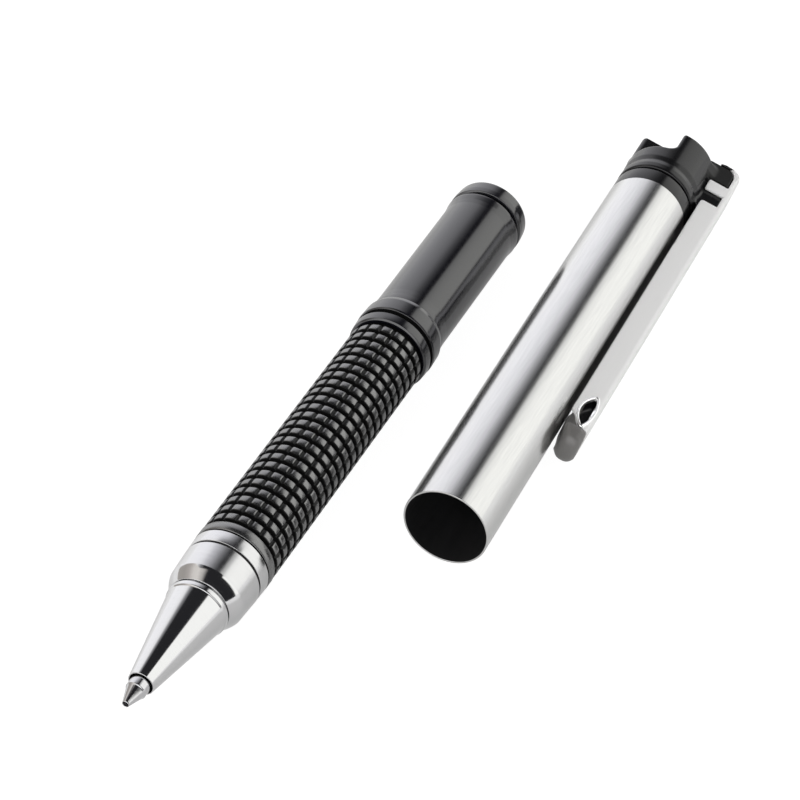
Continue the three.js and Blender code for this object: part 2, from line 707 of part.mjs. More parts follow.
function clipCover() {
  const channel = solid(alongPiece(channelSection(), coverStart, coverEnd));
  const strapSection = [
    [-CLIP_WIDTH / 2, strapEdge],
    [CLIP_WIDTH / 2, strapEdge],
    [CLIP_WIDTH / 2, railEdge],
    [-CLIP_WIDTH / 2, railEdge],
  ];
  const strapGap = strapSection.map(([across, out]) => [
    Math.sign(across) * clipInside,
    out === strapEdge ? out - CLIP_SHEET : out,
  ]);
  const strap = solid(alongPiece(strapSection, strapStart, strapEnd)).subtract(
    solid(alongPiece(strapGap, strapStart - CLIP_SHEET, strapEnd + CLIP_SHEET)),
  );
  const endSection = [
    [-clipInside, capRadius - CLIP_END_LAP],
    [clipInside, capRadius - CLIP_END_LAP],
    [clipInside, clipReach - CLIP_BEND],
    [-clipInside, clipReach - CLIP_BEND],
  ];
  const endWall = solid(alongPiece(endSection, coverEnd - CLIP_SHEET, coverEnd));
  const cover = channel
    .subtract(sideWindow(bossStart + CLIP_FLANGE_LAP, strapStart, strapEdge))
    .subtract(sideWindow(strapEnd, coverEnd + CLIP_SHEET, strapEdge))
    .subtract(clipEye())
    .subtract(cornerCut())
    .subtract(flangeNotch())
    .add(strap)
    .add(endWall);
  return piece("clip_cover", geometryOf(cover), materials.clipSteel);
}

// The arm from the side: a rounded tip, a contact point that nearly meets the tube, and a hump in the notch
function armSide() {
  const contact = coverStart + ARM_CONTACT_PLACE;
  const contactEdge = capRadius + ARM_CONTACT_GAP;
  const tipEdge = capRadius + ARM_TIP_GAP;
  const under = capRadius + ARM_GAP;
  const hump = flangeEdge + ARM_HUMP_SETBACK;
  const humpMiddle = (notchStart + notchEnd) / 2;
  return [
    ...arc(CLIP_TIP + ARM_TIP_ROUND, tipEdge + ARM_TIP_ROUND, ARM_TIP_ROUND, 180, 270),
    [contact - 1, contactEdge],
    [contact, contactEdge],
    [contact + 2.5, under],
    [notchStart, under],
    [humpMiddle - 1, hump],
    [humpMiddle + 1, hump],
    [notchEnd, under],
    [armEnd, under],
    [armEnd, bossTop],
    [coverStart - RUNNING, bossTop],
    [coverStart - RUNNING, clipReach],
    ...arc(CLIP_TIP + ARM_TIP_ROUND, clipReach - ARM_TIP_ROUND, ARM_TIP_ROUND, 90, 180),
  ];
}

// The arm from outside: a half-round tip as wide as the cover, a waist behind the eye, then the full inside width
function armPlan() {
  const half = CLIP_WIDTH / 2;
  const tipEnd = coverStart - RUNNING;
  const waist = ARM_WAIST_WIDTH / 2;
  const waistEnd = eyeEnd + ARM_WAIST_PLACE;
  const upper = [[armEnd, bossHalf], [waistEnd, bossHalf], [waistEnd, waist], [tipEnd, waist]];
  const lower = upper.map(([along, across]) => [along, -across]).reverse();
  const tip = arc(CLIP_TIP + half, 0, half, 90, 270, TIP_STEPS);
  return [...upper, [tipEnd, half], ...tip, [tipEnd, -half], ...lower];
}

function clipArm() {
  const side = solid(acrossPiece(armSide(), 2 * CLIP_WIDTH));
  const plan = solid(outPiece(armPlan(), 0, 2 * clipReach));
  return piece("clip_arm", geometryOf(side.intersect(plan)), materials.crownBlack);
}

function penGroup() {
  const pen = new THREE.Group();
  pen.add(
    writingBall(),
    refillPoint(),
    refillTube(),
    inkColumn(),
    noseCone(),
    noseCollar(),
    sealWasher(),
    barrelRing(),
    threadBush(),
    barrel(),
    gripSleeve(),
    shoulderRing(),
    refillSocket(),
    tailPlug(),
  );
  pen.position.z = shoulderRadius;
  return pen;
}

function capGroup() {
  const clipSide = new THREE.Group();
  clipSide.rotation.x = Math.PI / 2 + clipDip;
  clipSide.add(capCrown(), clipArm(), clipCover());
  const cap = new THREE.Group();
  cap.add(capTube(), crownInsert(), clipSide);
  cap.position.set(CAP_MOUTH_X, CAP_MOUTH_Y, capRadius);
  cap.rotation.z = radians(CAP_HEADING_DEGREES);
  return cap;
}

// The origin is the middle of the floor that the pen and its cap cover.
const pocketPen = new THREE.Group();
pocketPen.add(penGroup(), capGroup());
const reach = new THREE.Box3().setFromObject(pocketPen, true);
const middle = reach.getCenter(new THREE.Vector3());
for (const half of pocketPen.children) {
  half.position.x -= middle.x;
  half.position.y -= middle.y;
  half.position.z -= reach.min.z;
}

export default pocketPen;
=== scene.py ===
"""The looks of a capped ballpoint pocket pen, lying beside the cap that was pulled off it.

Shapes are worked out in millimetres: along is counted from the pen's point or from the cap's mouth,
turns are counted about the pen or the cap from -Y towards +Z, and out is counted from the cap's
axis towards its clip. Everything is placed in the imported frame, in metres.
"""
import itertools
import math

import bpy
import numpy as np
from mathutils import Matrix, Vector


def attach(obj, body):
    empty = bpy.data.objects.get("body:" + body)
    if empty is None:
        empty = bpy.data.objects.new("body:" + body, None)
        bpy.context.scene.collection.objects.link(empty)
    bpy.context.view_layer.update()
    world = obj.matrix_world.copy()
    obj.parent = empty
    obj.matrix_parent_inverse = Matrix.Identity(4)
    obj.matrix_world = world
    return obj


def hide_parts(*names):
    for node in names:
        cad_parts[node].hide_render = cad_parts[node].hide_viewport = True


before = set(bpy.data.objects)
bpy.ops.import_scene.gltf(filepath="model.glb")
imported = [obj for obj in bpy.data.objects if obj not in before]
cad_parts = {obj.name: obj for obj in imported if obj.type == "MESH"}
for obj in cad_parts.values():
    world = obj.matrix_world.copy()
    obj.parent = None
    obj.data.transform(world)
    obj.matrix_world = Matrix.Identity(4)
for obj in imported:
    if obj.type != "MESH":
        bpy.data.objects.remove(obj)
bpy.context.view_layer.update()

MM = 0.001

# Where the pen and the cap lie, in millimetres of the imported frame
PEN_TIP = np.array([-56.877, 10.613, 5.05])
CAP_MOUTH = np.array([-17.927, -7.897, 5.0])
CAP_HEADING = math.radians(1.63)
CLIP_DIP = math.radians(18.929)

# The camera, as fitted to the photograph
CAMERA_AIM = np.array([61.92 - 56.877, -2.34 + 10.613, 0.0])
CAMERA_HEADING = math.radians(25.004)
CAMERA_DROP = math.radians(39.77)
CAMERA_DISTANCE = 410.25
CAMERA_LENS = 159.7
CAMERA_SENSOR = 36
CAMERA_NEAR = 0.01

# Fineness of the turned pieces
SIDES = 144
SMALL_SIDES = 64
CORNER = 0.07
CORNER_STEPS = 4
CORNER_SHARE = 2.5

# Fineness of the moulded pieces
SKIN_STEP = 0.13
SKIN_PASSES = 5
LEAST_SLOPE = 0.25
NUDGE = 0.01


def pen_place(points):
    """Pen coordinates in millimetres to frame coordinates in metres."""
    return (np.asarray(points) + PEN_TIP) * MM


def cap_axes():
    along = np.array([math.cos(CAP_HEADING), math.sin(CAP_HEADING), 0.0])
    side = np.array([-math.sin(CAP_HEADING), math.cos(CAP_HEADING), 0.0])
    up = np.array([0.0, 0.0, 1.0])
    return along, side, up


def cap_place(points):
    """Cap coordinates, level like the pen's, to frame coordinates."""
    along, side, up = cap_axes()
    points = np.asarray(points)
    placed = points[:, :1] * along + points[:, 1:2] * side + points[:, 2:] * up
    return (placed + CAP_MOUTH) * MM


def clip_place(points):
    """Clip coordinates (along, across, out) to frame coordinates."""
    along, side, up = cap_axes()
    across = -side * math.sin(CLIP_DIP) + up * math.cos(CLIP_DIP)
    out = -side * math.cos(CLIP_DIP) - up * math.sin(CLIP_DIP)
    points = np.asarray(points)
    placed = points[:, :1] * along + points[:, 1:2] * across + points[:, 2:] * out
    return (placed + CAP_MOUTH) * MM


def piece(name, vertices, faces, body, replaced, materials, face_materials):
    """One shown piece: it rides on a body and stands for a CAD node."""
    mesh = bpy.data.meshes.new(name)
    mesh.from_pydata([tuple(v) for v in vertices], [], faces)
    for material in materials:
        mesh.materials.append(material)
    mesh.polygons.foreach_set("material_index", face_materials)
    mesh.polygons.foreach_set("use_smooth", [True] * len(mesh.polygons))
    mesh.update()
    shown = bpy.data.objects.new(name, mesh)
    bpy.context.scene.collection.objects.link(shown)
    weights = shown.modifiers.new("weights", "WEIGHTED_NORMAL")
    weights.keep_sharp = True
    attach(shown, body)
    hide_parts(replaced)
    return shown


def softened(outline, radius=CORNER):
    """A closed outline with its corners rounded, but not those on the axis."""
    points = [np.array(point, float) for point in outline]
    result = []
    for i, here in enumerate(points):
        before = points[i - 1] - here
        after = points[(i + 1) % len(points)] - here
        length_before = np.linalg.norm(before)
        length_after = np.linalg.norm(after)
        reach = min(radius, length_before / CORNER_SHARE, length_after / CORNER_SHARE)
        if here[1] < NUDGE or reach < NUDGE:
            result.append(here)
            continue
        start = here + before / length_before * reach
        end = here + after / length_after * reach
        for k in range(CORNER_STEPS + 1):
            t = k / CORNER_STEPS
            result.append((1 - t) ** 2 * start + 2 * t * (1 - t) * here + t**2 * end)
    return result


def turned(outline, sides, second):
    """Vertices, faces and face materials of an outline turned about the axis.

    Outlines run up the outside and back down the bore. Where second says so of a place and
    a radius, the face takes the second material.
    """
    vertices = []
    rings = []
    for along, radius in outline:
        if radius < NUDGE:
            rings.append([len(vertices)] * sides)
            vertices.append((along, 0.0, 0.0))
            continue
        rings.append(list(range(len(vertices), len(vertices) + sides)))
        for k in range(sides):
            turn = 2 * math.pi * k / sides
            vertices.append((along, -radius * math.cos(turn), radius * math.sin(turn)))
    faces = []
    choice = []
    count = len(outline)
    for i in range(count):
        j = (i + 1) % count
        if outline[i][1] < NUDGE and outline[j][1] < NUDGE:
            continue
        middle = (np.array(outline[i]) + np.array(outline[j])) / 2
        which = 1 if second and second(*middle) else 0
        for k in range(sides):
            n = (k + 1) % sides
            corners = [rings[i][k], rings[j][k], rings[j][n], rings[i][n]]
            corners = [c for at, c in enumerate(corners) if c != corners[at - 1]]
            faces.append(corners)
            choice.append(which)
    return vertices, faces, choice


def pen_turned(name, outline, body, materials, sides=SIDES, corner=CORNER, second=None):
    vertices, faces, choice = turned(softened(outline, corner), sides, second)
    return piece(
        name + "_shown", pen_place(vertices), faces, body, name, materials, choice
    )


def cap_turned(name, outline, materials, corner=CORNER, second=None):
    vertices, faces, choice = turned(softened(outline, corner), SIDES, second)
    return piece(
        name + "_shown", cap_place(vertices), faces, "cap", name, materials, choice
    )


# Distance fields of the moulded and folded pieces, negative inside them


def hypot(*parts):
    return np.sqrt(sum(part**2 for part in parts))


def meet(a, b, radius=0.0):
    """What is in both, with the edge between them rounded."""
    return np.minimum(-radius, np.maximum(a, b)) + hypot(
        np.maximum(radius + a, 0), np.maximum(radius + b, 0)
    )


def join(a, b, radius=0.0):
    """What is in either, with a fillet between them."""
    return -meet(-a, -b, radius)


def slab(value, low, high):
    return np.maximum(low - value, value - high)


def polygon_field(x, y, points):
    """Signed distance to a polygon."""
    inside = np.zeros(x.shape, bool)
    nearest = np.full(x.shape, np.inf)
    count = len(points)
    for i in range(count):
        ax, ay = points[i]
        bx, by = points[(i + 1) % count]
        ex, ey = bx - ax, by - ay
        px, py = x - ax, y - ay
        share = np.clip((px * ex + py * ey) / (ex * ex + ey * ey), 0, 1)
        nearest = np.minimum(nearest, hypot(px - ex * share, py - ey * share))
        spans = (ay > y) != (by > y)
        if ay != by:
            inside ^= spans & (px < ex * py / ey)
    return np.where(inside, -nearest, nearest)


def slope_of(field, vertices):
    """How a field grows along each axis at the vertices."""
    columns = []
    for unit in np.eye(3):
        ahead = field(*(vertices + NUDGE * unit).T)
        behind = field(*(vertices - NUDGE * unit).T)
        columns.append((ahead - behind) / (2 * NUDGE))
    return np.stack(columns, 1)


def skin(field, low, high):
    """The surface of a field as quads: one vertex in each cell that the surface crosses."""
    step = SKIN_STEP
    axes = [np.arange(a - 2 * step, b + 3 * step, step) for a, b in zip(low, high)]
    grid = np.stack(np.meshgrid(*axes, indexing="ij"), -1)
    value = field(grid[..., 0], grid[..., 1], grid[..., 2])
    shape = np.array(value.shape) - 1
    total = np.zeros((*shape, 3))
    hits = np.zeros(shape)

    def corner_block(block, offset):
        return block[tuple(slice(o, o + n) for o, n in zip(offset, shape))]

    for axis in range(3):
        others = [k for k in range(3) if k != axis]
        for pair in itertools.product((0, 1), repeat=2):
            start = [0, 0, 0]
            start[others[0]], start[others[1]] = pair
            end = list(start)
            end[axis] = 1
            a, b = corner_block(value, start), corner_block(value, end)
            crossed = (a < 0) != (b < 0)
            share = np.where(crossed, a / np.where(crossed, a - b, 1), 0)
            at = corner_block(grid, start) * 1.0
            at[..., axis] += share * step
            total += at * crossed[..., None]
            hits += crossed
    mixed = hits > 0
    index = np.full(shape, -1)
    index[mixed] = np.arange(mixed.sum())
    vertices = total[mixed] / hits[mixed][:, None]

    faces = []
    for axis in range(3):
        u, v = [(1, 2), (2, 0), (0, 1)][axis]
        lower = [slice(1, n) for n in shape]
        upper = [slice(1, n) for n in shape]
        lower[axis] = slice(0, shape[axis])
        upper[axis] = slice(1, shape[axis] + 1)
        a, b = value[tuple(lower)], value[tuple(upper)]
        for sign in (True, False):
            edges = np.argwhere((a < 0) & (b >= 0) if sign else (a >= 0) & (b < 0))
            edges += [0 if k == axis else 1 for k in range(3)]
            quad = []
            for du, dv in ((0, 0), (1, 0), (1, 1), (0, 1)):
                cell = edges.copy()
                cell[:, u] -= du
                cell[:, v] -= dv
                quad.append(index[cell[:, 0], cell[:, 1], cell[:, 2]])
            quad = np.stack(quad if sign else quad[::-1], 1)
            faces.extend(quad.tolist())

    for _ in range(SKIN_PASSES):
        here = field(*vertices.T)
        slope = slope_of(field, vertices)
        size = np.maximum((slope**2).sum(1), LEAST_SLOPE)
        move = np.clip(here / size, -step / 3, step / 3)
        vertices = vertices - move[:, None] * slope
    return vertices, faces


def moulded(name, field, low, high, body, materials, paint):
    """A piece of the cap or its clip from its field. Paint gives each face its material."""
    vertices, faces = skin(field, low, high)
    middles = np.array([vertices[face].mean(0) for face in faces])
    choice = paint(*middles.T).astype(int).tolist()
    return piece(
        name + "_shown", clip_place(vertices), faces, body, name, materials, choice
    )


# Materials

NOISE_DETAIL = 3.0
NOISE_RANGE = (0.3, 0.7)


def new_material(name):
    material = bpy.data.materials.new(name)
    material.use_nodes = True
    nodes = material.node_tree.nodes
    return material, nodes, material.node_tree.links, nodes["Principled BSDF"]


def noise_along(nodes, links, scale, stretch, heading):
    """Noise in the object's own coordinates, stretched along the piece."""
    place = nodes.new("ShaderNodeTexCoord")
    turn = nodes.new("ShaderNodeMapping")
    turn.inputs["Rotation"].default_value = (0, 0, -heading)
    turn.inputs["Scale"].default_value = stretch
    noise = nodes.new("ShaderNodeTexNoise")
    noise.inputs["Scale"].default_value = scale
    noise.inputs["Detail"].default_value = NOISE_DETAIL
    links.new(place.outputs["Object"], turn.inputs["Vector"])
    links.new(turn.outputs["Vector"], noise.inputs["Vector"])
    return noise.outputs["Fac"]


def spread_over(nodes, links, value, before, after=(0.0, 1.0)):
    """A value taken from one range to another."""
    spread = nodes.new("ShaderNodeMapRange")
    spread.inputs["From Min"].default_value = before[0]
    spread.inputs["From Max"].default_value = before[1]
    spread.inputs["To Min"].default_value = after[0]
    spread.inputs["To Max"].default_value = after[1]
    links.new(value, spread.inputs["Value"])
    return spread.outputs["Result"]


def mixed_colour(nodes, links, value, first, second):
    """Two colours mixed by a value. Each is three numbers or another node's output."""
    blend = nodes.new("ShaderNodeMix")
    blend.data_type = "RGBA"
    links.new(value, blend.inputs["Factor"])
    for name, colour in (("A", first), ("B", second)):
        if isinstance(colour, tuple):
            blend.inputs[name].default_value = (*colour, 1)
        else:
            links.new(colour, blend.inputs[name])
    return blend.outputs["Result"]


def reckoned(nodes, links, operation, *terms):
    """One step of arithmetic. Each term is a number or another node's output."""
    node = nodes.new("ShaderNodeMath")
    node.operation = operation
    for place, term in enumerate(terms):
        if isinstance(term, (int, float)):
            node.inputs[place].default_value = term
        else:
            links.new(term, node.inputs[place])
    return node.outputs["Value"]


def bumped(nodes, links, shader, value, strength, depth):
    bump = nodes.new("ShaderNodeBump")
    bump.inputs["Strength"].default_value = strength
    bump.inputs["Distance"].default_value = depth
    links.new(value, bump.inputs["Height"])
    links.new(bump.outputs["Normal"], shader.inputs["Normal"])


def surface(name, colours, metallic, roughness, grain, stretch, bump, ior=1.5, heading=0.0):
    """A worked surface: a grain varies its colour and roughness, and stands in its relief."""
    material, nodes, links, shader = new_material(name)
    shader.inputs["Metallic"].default_value = metallic
    shader.inputs["IOR"].default_value = ior
    fine = noise_along(nodes, links, grain, stretch, heading)
    links.new(mixed_colour(nodes, links, fine, *colours), shader.inputs["Base Color"])
    polish = spread_over(nodes, links, fine, NOISE_RANGE, roughness)
    links.new(polish, shader.inputs["Roughness"])
    bumped(nodes, links, shader, fine, *bump)
    return material


BRUSHED = (0.04, 1.0, 1.0)
TURNED_MARKS = (1.0, 0.06, 0.06)
EVEN = (1.0, 1.0, 1.0)

chrome = surface(
    "chrome",
    ((0.61, 0.61, 0.61), (0.57, 0.57, 0.58)),
    1.0,
    (0.08, 0.12),
    9000,
    TURNED_MARKS,
    (0.04, 2e-6),
)
satin_chrome = surface(
    "satin_chrome",
    ((0.60, 0.60, 0.60), (0.55, 0.55, 0.56)),
    1.0,
    (0.15, 0.22),
    8000,
    TURNED_MARKS,
    (0.08, 3e-6),
)
point_metal = surface(
    "point_metal",
    ((0.58, 0.58, 0.59), (0.51, 0.51, 0.52)),
    1.0,
    (0.08, 0.14),
    9000,
    TURNED_MARKS,
    (0.08, 3e-6),
)
brass = surface(
    "brass",
    ((0.72, 0.52, 0.22), (0.60, 0.42, 0.17)),
    1.0,
    (0.2, 0.3),
    6000,
    BRUSHED,
    (0.1, 3e-6),
)
cap_steel = surface(
    "cap_steel",
    ((0.63, 0.63, 0.62), (0.54, 0.54, 0.54)),
    1.0,
    (0.17, 0.23),
    7000,
    BRUSHED,
    (0.10, 3e-6),
    heading=CAP_HEADING,
)
cap_inside = surface(
    "cap_inside",
    ((0.010, 0.010, 0.011), (0.016, 0.016, 0.017)),
    0.0,
    (0.5, 0.65),
    3000,
    BRUSHED,
    (0.1, 4e-6),
)
clip_steel = surface(
    "clip_steel",
    ((0.97, 0.97, 0.97), (0.94, 0.94, 0.94)),
    0.15,
    (0.5, 0.58),
    6000,
    BRUSHED,
    (0.10, 4e-6),
    heading=CAP_HEADING,
)
barrel_black = surface(
    "barrel_black",
    ((0.004, 0.004, 0.007), (0.006, 0.006, 0.009)),
    0.0,
    (0.14, 0.18),
    2500,
    EVEN,
    (0.02, 3e-6),
    ior=1.8,
)
grip_black = surface(
    "grip_black",
    ((0.006, 0.006, 0.007), (0.010, 0.010, 0.011)),
    0.0,
    (0.25, 0.30),
    5000,
    EVEN,
    (0.03, 5e-6),
    ior=2.5,
)
# A duller, darker copy of the black plastic: painted shade on the grip's pad rims and on the block
# in the clip's upper window
rim_and_window_shade = surface(
    "rim_and_window_shade",
    ((0.003, 0.003, 0.003), (0.005, 0.005, 0.005)),
    0.0,
    (0.35, 0.42),
    5000,
    EVEN,
    (0.03, 5e-6),
    ior=1.35,
)
# The darkest, dullest copy of the black plastic: painted shade in grooves and seams
groove_shade_black = surface(
    "groove_shade_black",
    ((0.002, 0.002, 0.002), (0.004, 0.004, 0.004)),
    0.0,
    (0.7, 0.8),
    5000,
    EVEN,
    (0.1, 6e-6),
    ior=1.15,
)
crown_black = surface(
    "crown_black",
    ((0.006, 0.006, 0.007), (0.010, 0.010, 0.011)),
    0.0,
    (0.15, 0.19),
    5000,
    EVEN,
    (0.012, 4e-6),
    ior=1.42,
)
# The arm's plastic as lit outside the cover, painted light; under the cover the arm takes the
# crown's black as painted shade
arm_lit_grey = surface(
    "arm_lit_grey",
    ((0.185, 0.18, 0.175), (0.155, 0.15, 0.145)),
    0.0,
    (0.32, 0.40),
    5000,
    EVEN,
    (0.02, 5e-6),
    ior=1.6,
)
eye_steel = surface(
    "eye_steel",
    ((0.98, 0.98, 0.98), (0.95, 0.95, 0.95)),
    1.0,
    (0.16, 0.20),
    6000,
    EVEN,
    (0.02, 3e-6),
)
rubber = surface(
    "washer_rubber",
    ((0.008, 0.008, 0.008), (0.012, 0.012, 0.012)),
    0.0,
    (0.6, 0.7),
    4000,
    EVEN,
    (0.1, 5e-6),
)
ball_metal = surface(
    "ball_metal",
    ((0.022, 0.022, 0.025), (0.014, 0.014, 0.016)),
    1.0,
    (0.08, 0.12),
    9000,
    EVEN,
    (0.02, 2e-6),
)
ink_black = surface(
    "ink_black",
    ((0.008, 0.008, 0.014), (0.012, 0.012, 0.02)),
    0.0,
    (0.25, 0.35),
    3000,
    EVEN,
    (0.05, 5e-6),
)


def dress(node, material):
    """A CAD node that stays in view takes a finished material."""
    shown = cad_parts[node]
    shown.data.materials.clear()
    shown.data.materials.append(material)


dress("ink_column", ink_black)
dress("thread_bush", brass)
dress("refill_socket", barrel_black)

# The pen


def arc(centre_along, centre_out, radius, start, end, steps):
    """Points on an arc of a circle, between two angles in degrees."""
    points = []
    for k in range(steps + 1):
        angle = math.radians(start + (end - start) * k / steps)
        along = centre_along + radius * math.cos(angle)
        out = centre_out + radius * math.sin(angle)
        points.append((along, out))
    return points


BALL = 0.35
ball_outline = arc(BALL, 0, BALL, 180, 0, 24)
ball_outline[0] = (0.0, 0.0)
ball_outline[-1] = (2 * BALL, 0.0)
pen_turned("writing_ball", ball_outline, "refill", [ball_metal], SMALL_SIDES, 0.0)

REFILL = 1.175
pen_turned(
    "refill_point",
    [
        (0.16, 0.385),
        (0.32, 0.44),
        (2.2, 1.05),
        (2.34, REFILL),
        (5.0, REFILL),
        (5.0, 0.945),
        (9.0, 0.945),
        (9.0, 0.2),
        (0.9, 0.2),
        (0.73, 0.37),
        (0.16, 0.37),
    ],
    "refill",
    [point_metal],
    SMALL_SIDES,
    0.05,
)
pen_turned(
    "refill_tube",
    [(5.0, REFILL), (67.0, REFILL), (67.0, 0.975), (5.0, 0.975)],
    "refill",
    [brass],
    SMALL_SIDES,
    0.03,
)
pen_turned(
    "nose_cone",
    [
        (3.5, 1.5),
        (15.6, 3.5),
        (15.72, 3.62),
        (16.3, 3.62),
        (16.3, 3.25),
        (16.55, 3.25),
        (16.55, 3.1),
        (20.15, 3.1),
        (20.15, 1.9),
        (10.4, 1.9),
        (8.5, 1.275),
        (4.7, 1.275),
        (3.5, 1.38),
    ],
    "nose",
    [chrome, rubber],
    second=lambda along, radius: radius < 1.35,
)
pen_turned(
    "nose_collar",
    [
        *[(16.57 + 1.57 * u, 3.6 + 1.2 * u - 0.38 * u**2) for u in np.linspace(0, 1, 14)],
        (18.18, 4.43),
        (21.65, 4.6),
        (21.65, 2.6),
        (27.05, 2.6),
        (27.05, 1.9),
        (20.18, 1.9),
        (20.18, 3.13),
        (16.55, 3.13),
    ],
    "nose",
    [satin_chrome, chrome],
    corner=0.03,
    second=lambda along, radius: along < 18.15,
)
pen_turned(
    "seal_washer",
    [(21.65, 4.46), (22.0, 4.46), (22.0, 2.65), (21.65, 2.65)],
    "seal",
    [rubber],
)
pen_turned(
    "barrel_ring",
    [(22.0, 4.6), (23.7, 4.66), (23.7, 3.18), (22.0, 3.18)],
    "pen",
    [satin_chrome],
)
CORE = 3.9
pen_turned(
    "barrel",
    [
        (23.7, CORE),
        (68.03, CORE),
        (68.03, 4.72),
        (69.0, 4.63),
        (69.9, 4.59),
        (88.5, 4.585),
        (89.2, 4.64),
        (89.95, 4.735),
        (90.15, 4.73),
        (90.25, 4.62),
        (90.25, 3.2),
        (23.7, 3.2),
    ],
    "pen",
    [barrel_black],
    corner=0.03,
)
pen_turned(
    "shoulder_ring",
    [
        (63.34, 4.68),
        (63.5, 4.9),
        (64.58, 4.98),
        (64.74, 4.68),
        (65.16, 4.68),
        (65.32, 4.97),
        (65.5, 5.05),
        (67.36, 4.97),
        (68.0, 4.77),
        (68.0, 3.95),
        (63.34, 3.95),
    ],
    "pen",
    [barrel_black, groove_shade_black],
    corner=0.05,
    # The groove's floor takes the darkest black as painted shade
    second=lambda along, radius: 64.6 < along < 65.3 and radius < 4.85,
)
pen_turned(
    "tail_plug",
    [
        (90.25, 4.3),
        (90.70, 4.3),
        (90.86, 4.74),
        (91.6, 4.735),
        (92.7, 4.62),
        *arc(92.75, 4.15, 0.45, 75, 0, 6),
        (93.2, 0.0),
        (90.25, 0.0),
        (90.25, 2.2),
        (84.25, 2.2),
        (84.25, 3.15),
        (90.25, 3.15),
    ],
    "pen",
    [barrel_black, groove_shade_black],
    # The floor of the groove at the plug's front end takes the darkest black as painted shade
    second=lambda along, radius: along < 90.75 and radius > 4.25,
)

# The grip: a plain band, then rows and columns of raised pads. Steps are pairs of a place
# along the row or a turn in degrees, and the depth below the pads' tops
SLEEVE_START = 23.7
SLEEVE_END = 63.34
SLEEVE_BORE = 3.95
BAND_STEPS = ((0.16, 0.3), (0.26, 0.08), (0.36, 0.0), (1.45, 0.0), (1.55, 0.08), (1.66, 0.3))
BAND_GAP = 0.14
PAD_START = 25.75
PAD_ROWS = 24
PAD_COLUMNS = 18
PAD_PITCH = 1.56
PAD_RADIUS = 4.68
PAD_TURN = 62.2
RING_DEPTH = 0.36
ROW_STEPS = (
    (0.0, 0.20),
    (0.05, 0.11),
    (0.14, 0.05),
    (0.32, 0.012),
    (0.53, 0.0),
    (0.76, 0.012),
    (0.96, 0.05),
    (1.05, 0.11),
    (1.10, 0.20),
    (1.17, 0.32),
    (1.33, 0.36),
    (1.49, 0.32),
)
COLUMN_STEPS = (
    (-7.7, 0.11),
    (-6.9, 0.05),
    (-4.2, 0.015),
    (0.0, 0.0),
    (4.2, 0.015),
    (6.9, 0.05),
    (7.7, 0.11),
    (8.6, 0.23),
    (10.0, 0.29),
    (11.4, 0.23),
)
# Faces deeper than PAD_SHADE take the rims' darker black, and rings deeper than GROOVE_SHADE the
# grooves' darkest black, as painted shade
PAD_SHADE = 0.07
GROOVE_SHADE = 0.15


def grip_rings(turns):
    """The sleeve's rings from its front edge to its back edge and home along its bore."""
    rings = []

    def plain(along, depth):
        rings.append((along, [PAD_RADIUS - depth] * len(turns)))

    plain(SLEEVE_START, RING_DEPTH)
    for along, depth in BAND_STEPS:
        plain(SLEEVE_START + along, depth)
    plain(PAD_START - BAND_GAP, RING_DEPTH)
    for row in range(PAD_ROWS):
        for along, depth in ROW_STEPS:
            radii = []
            for _, beside in turns:
                both = (depth**2 + beside**2) ** 0.5
                radii.append(PAD_RADIUS - min(both, RING_DEPTH))
            rings.append((PAD_START + row * PAD_PITCH + along, radii))
    plain(SLEEVE_END, RING_DEPTH)
    plain(SLEEVE_END, PAD_RADIUS - SLEEVE_BORE)
    plain(SLEEVE_START, PAD_RADIUS - SLEEVE_BORE)
    return rings


def grip_paint(corners, top):
    """0 on the pads, 1 in the grooves between the rows, 2 on the pads' rims; 1 and 2 are darker
    copies of the pads' black, painted shade.
    """
    if sum(corners) / len(corners) > PAD_RADIUS - PAD_SHADE:
        return 0
    if top < PAD_RADIUS - GROOVE_SHADE:
        return 1
    return 2


def grip():
    turns = []
    for column in range(PAD_COLUMNS):
        middle = PAD_TURN + 360 / PAD_COLUMNS * column
        turns += [(math.radians(middle + turn), depth) for turn, depth in COLUMN_STEPS]
    rings = grip_rings(turns)
    vertices = []
    for along, radii in rings:
        for (turn, _), radius in zip(turns, radii):
            vertices.append((along, -radius * math.cos(turn), radius * math.sin(turn)))
    faces = []
    choice = []
    count = len(turns)
    for i in range(len(rings)):
        j = (i + 1) % len(rings)
        here, there = rings[i][1], rings[j][1]
        top = (max(here) + max(there)) / 2
        for k in range(count):
            n = (k + 1) % count
            faces.append([i * count + k, j * count + k, j * count + n, i * count + n])
            choice.append(grip_paint((here[k], there[k], there[n], here[n]), top))
    materials = [grip_black, groove_shade_black, rim_and_window_shade]
    return piece(
        "grip_sleeve_shown",
        pen_place(vertices),
        faces,
        "pen",
        "grip_sleeve",
        materials,
        choice,
    )


grip()

# The cap

TUBE_END = 62.3
cap_turned(
    "cap_tube",
    [(0.0, 5.0), (TUBE_END, 5.0), (TUBE_END, 4.78), (0.0, 4.78)],
    [cap_steel, cap_inside],
    corner=0.06,
    second=lambda along, radius: radius < 4.79,
)
cap_turned(
    "crown_insert",
    [
        (53.8, 4.73),
        (62.33, 4.73),
        (62.33, 4.97),
        (64.45, 4.97),
        (64.45, 4.1),
        (68.55, 4.1),
        (68.55, 3.4),
        (53.8, 3.4),
    ],
    [crown_black],
)

